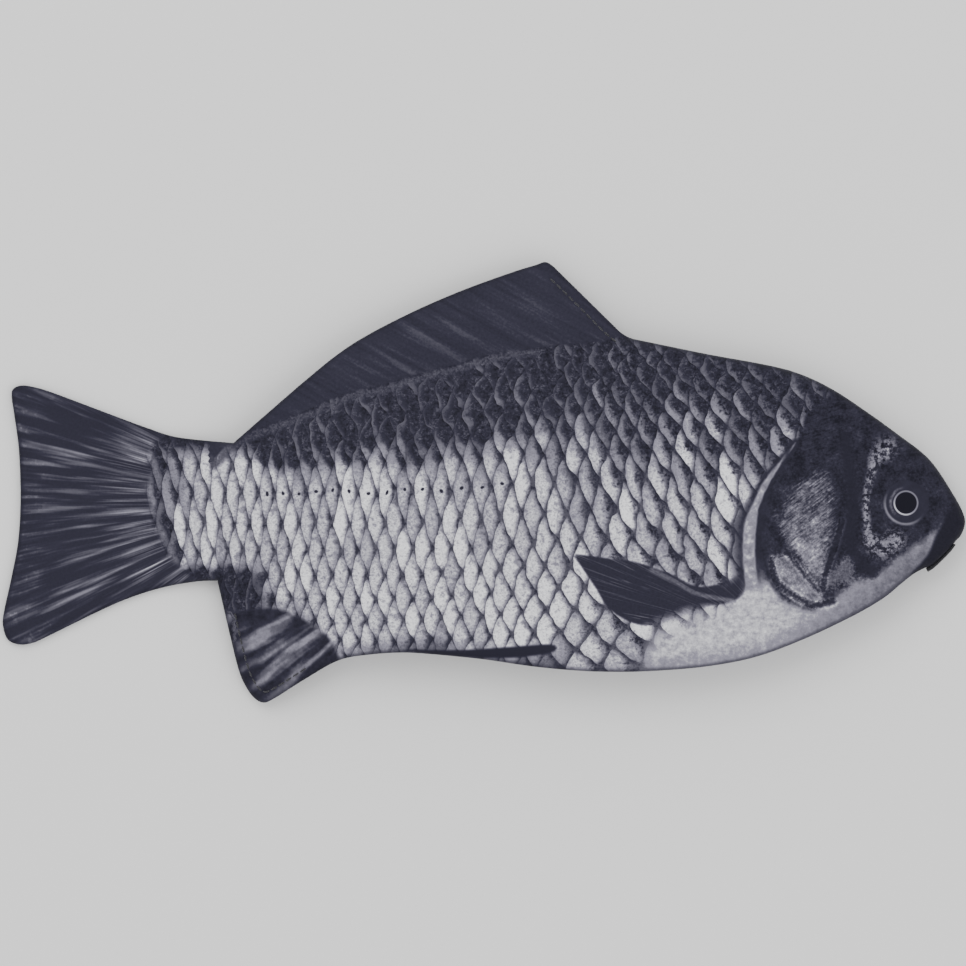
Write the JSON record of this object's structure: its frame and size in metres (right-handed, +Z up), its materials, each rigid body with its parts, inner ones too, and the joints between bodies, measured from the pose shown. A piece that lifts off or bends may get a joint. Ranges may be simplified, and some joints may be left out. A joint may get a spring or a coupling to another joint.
{
  "type": "fish-shaped zip pouch",
  "caption": "Flat padded pouch in the shape of a carp, printed with scales on both sides, with a zip along the belly.",
  "frame": {"origin": "middle of the outline's box, on the surface that the pouch lies on", "axes": "+X from the tail to the snout, +Y from the belly to the back, +Z up out of the flank that shows"},
  "size_m": [0.3, 0.1374, 0.0231],
  "materials": {
    "printed_cloth": "coated cloth with a printed fish, satin",
    "foam": "soft foam interlining",
    "lining": "black woven lining",
    "zip_tape": "black woven zip tape",
    "zip_coil": "black nylon coil",
    "zip_metal": "nickel-plated, lightly worn",
    "thread": "dark polyester sewing thread"
  },
  "bodies": {
    "shell": {"anal_fin_bobbin_thread": "thread", "anal_fin_needle_thread": "thread", "bottom_stop": "zip_metal", "dorsal_fin_bobbin_thread": "thread", "dorsal_fin_needle_thread": "thread", "front_end_tab": "zip_tape", "lower_top_stop": "zip_metal", "lower_wall_cloth": "printed_cloth", "lower_wall_foam": "foam", "lower_wall_lining": "lining", "lower_zip_coil": "zip_coil", "lower_zip_tape": "zip_tape", "mouth_zip_fold": "zip_tape", "rear_end_tab": "zip_tape", "upper_top_stop": "zip_metal", "upper_wall_cloth": "printed_cloth", "upper_wall_foam": "foam", "upper_wall_lining": "lining"},
    "belly_flap": {"belly_flap_cloth": "printed_cloth", "belly_flap_foam": "foam", "belly_flap_lining": "lining", "upper_zip_tape": "zip_tape", "upper_zip_coil": "zip_coil"},
    "slider": {"slider_body": "zip_metal"},
    "puller": {"puller": "zip_metal"}
  },
  "joints": [
    {"name": "zip_travel", "type": "hinge", "parent": "shell", "child": "slider", "pos_m": [0.03317, 0.13897, 0.0105], "axis": [0, 0, 1], "range_deg": [-42.14, 0]},
    {"name": "flap_fold", "type": "hinge", "parent": "shell", "child": "belly_flap", "pos_m": [-0.033, -0.05038, 0.0217], "axis": [-0.9912, -0.1325, 0], "range_deg": [0, 52], "deforming": ["upper_zip_tape", "upper_zip_coil"]},
    {"name": "puller_flip", "type": "hinge", "parent": "slider", "child": "puller", "pos_m": [0.11925, -0.03655, 0.0105], "axis": [0, 0, 1], "range_deg": [0, 150]}
  ],
  "couplings": [
    {"joint": "flap_fold", "follows": "zip_travel", "ratio": -1.18}
  ]
}
